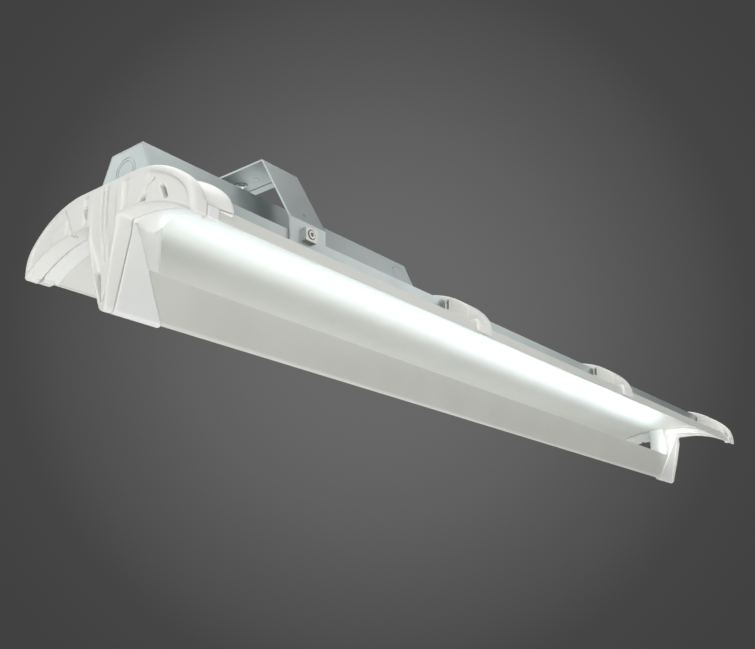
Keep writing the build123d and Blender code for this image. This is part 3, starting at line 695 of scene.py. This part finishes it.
# soft lights: name, place, target, size, power
panelLooks = [
    ("endHighPanel", (-2.2, -0.8, 1.4), (-0.3, 0, 0), 1.6, 23.0),
    ("sidePanel", (-0.3, -2.8, -0.2), (0, 0, 0), 2.4, 3.0),
    ("sideHighPanel", (-0.4, -2.2, 1.8), (0, 0, 0), 2.0, 17.0),
    ("lowPanel", (0.2, -0.9, -1.9), (0, 0, 0), 2.4, 19.0),
    ("nearLowPanel", (-1.8, -0.9, -1.5), (-0.2, 0, 0), 1.6, 24.0),
    ("farLowPanel", (1.8, 1.5, -1.6), (0.2, 0, 0), 2.2, 18.0),
    ("topPanel", (0.0, 0.6, 2.4), (0, 0, 0), 2.6, 40.0),
    ("farHighPanel", (1.9, -1.2, 1.6), (0.3, 0, 0), 1.6, 9.0),
    ("platePanel", (-1.85, 1.5, 1.05), (-0.6, 0, 0.03), 1.2, 8.0),
    ("stripPanel", (1.7, -1.6, 0.95), (-0.2, 0, 0), 1.2, 5.0),
]


# a square area lamp that the camera doesn't see
def addLamp(name, place, target, size, power):
    data = bpy.data.lights.new(name, "AREA")
    data.size = size
    data.energy = power
    lamp = bpy.data.objects.new(name, data)
    bpy.context.scene.collection.objects.link(lamp)
    aim = Vector(target) - Vector(place)
    lamp.rotation_euler = aim.to_track_quat("-Z", "Y").to_euler()
    lamp.location = place
    lamp.visible_camera = False
    return lamp


for panel in panelLooks:
    addLamp(*panel)


# light of the LED rows as it spills on the far column, in a narrow beam
columnLook = {
    "place": (0.500, -0.045, -0.050),
    "target": (0.600, -0.030, -0.052),
    "size": 0.03,
    "power": 0.012,
    "spread": 60,
}


def makeColumnLight(look):
    lamp = addLamp("columnPanel", look["place"], look["target"], look["size"], look["power"])
    lamp.data.spread = math.radians(look["spread"])


makeColumnLight(columnLook)


# light of the working LED rows as the glossy underside mirrors it, facing up
rowLook = {
    "height": -0.0600,
    "length": 1.11,
    "width": 0.016,
    "power": 2.3,
    "colour": (0.72, 0.90, 1.0),
}


def makeRowLight(look):
    place = (0, 0, look["height"])
    lamp = addLamp("ledRowGlow", place, (0, 0, 0), look["length"], look["power"])
    lamp.data.shape = "RECTANGLE"
    lamp.data.size_y = look["width"]
    lamp.data.color = look["colour"]
    lamp.rotation_euler = (math.pi, 0, 0)
    lamp.visible_diffuse = False


makeRowLight(rowLook)


# dark air behind the light, paler around the way the camera looks from rest
airLook = {
    "axis": (0.7432, 0.5880, 0.3196),
    "stops": [(0.900, 0.0515), (0.933, 0.0600), (0.947, 0.0746), (0.968, 0.0986),
              (0.984, 0.1221), (1.000, 0.1440)],
    "strength": 1.0,
}


def makeAir(look):
    air = bpy.data.worlds.new("studioAir")
    air.use_nodes = True
    tree = air.node_tree
    coords = tree.nodes.new("ShaderNodeTexCoord")
    dot = tree.nodes.new("ShaderNodeVectorMath")
    dot.operation = "DOT_PRODUCT"
    dot.inputs[1].default_value = look["axis"]
    tree.links.new(coords.outputs["Generated"], dot.inputs[0])
    start = look["stops"][0][0]
    reach = tree.nodes.new("ShaderNodeMapRange")
    reach.inputs["From Min"].default_value = start
    tree.links.new(dot.outputs["Value"], reach.inputs["Value"])
    shade = tree.nodes.new("ShaderNodeValToRGB")
    shade.color_ramp.interpolation = "B_SPLINE"
    stops = [((place - start) / (1 - start), (grey, grey, grey)) for place, grey in look["stops"]]
    setRamp(shade.color_ramp, stops)
    tree.links.new(reach.outputs["Result"], shade.inputs["Fac"])
    back = tree.nodes["Background"]
    tree.links.new(shade.outputs["Color"], back.inputs["Color"])
    back.inputs["Strength"].default_value = look["strength"]
    return air


bpy.context.scene.world = makeAir(airLook)
bpy.context.scene.view_settings.view_transform = "Standard"
print("studio set")


# camera at the photograph's angle: angles in degrees, the lens from its pixels
cameraLook = {
    "place": (-1.06038, -0.65350, -0.37697),
    "turn": 38.35,
    "rise": 18.64,
    "roll": -0.70,
    "focalPixels": 955.66,
    "pictureWidth": 755,
    "sensorWidth": 36.0,
    "clipStart": 0.01,
}


def makeCamera(look):
    turn = math.radians(look["turn"])
    rise = math.radians(look["rise"])
    roll = math.radians(look["roll"])
    ahead = Vector((math.cos(turn) * math.cos(rise), math.sin(turn) * math.cos(rise),
                    math.sin(rise)))
    level = Vector((math.sin(turn), -math.cos(turn), 0))
    upward = level.cross(ahead)
    right = level * math.cos(roll) + upward * math.sin(roll)
    top = upward * math.cos(roll) - level * math.sin(roll)
    data = bpy.data.cameras.new("photoCamera")
    data.sensor_width = look["sensorWidth"]
    data.lens = look["focalPixels"] / look["pictureWidth"] * data.sensor_width
    data.clip_start = look["clipStart"]
    camera = bpy.data.objects.new("photoCamera", data)
    bpy.context.scene.collection.objects.link(camera)
    facing = Matrix((right, top, -ahead)).transposed().to_4x4()
    camera.matrix_world = Matrix.Translation(look["place"]) @ facing
    bpy.context.scene.camera = camera


makeCamera(cameraLook)
print("camera set")
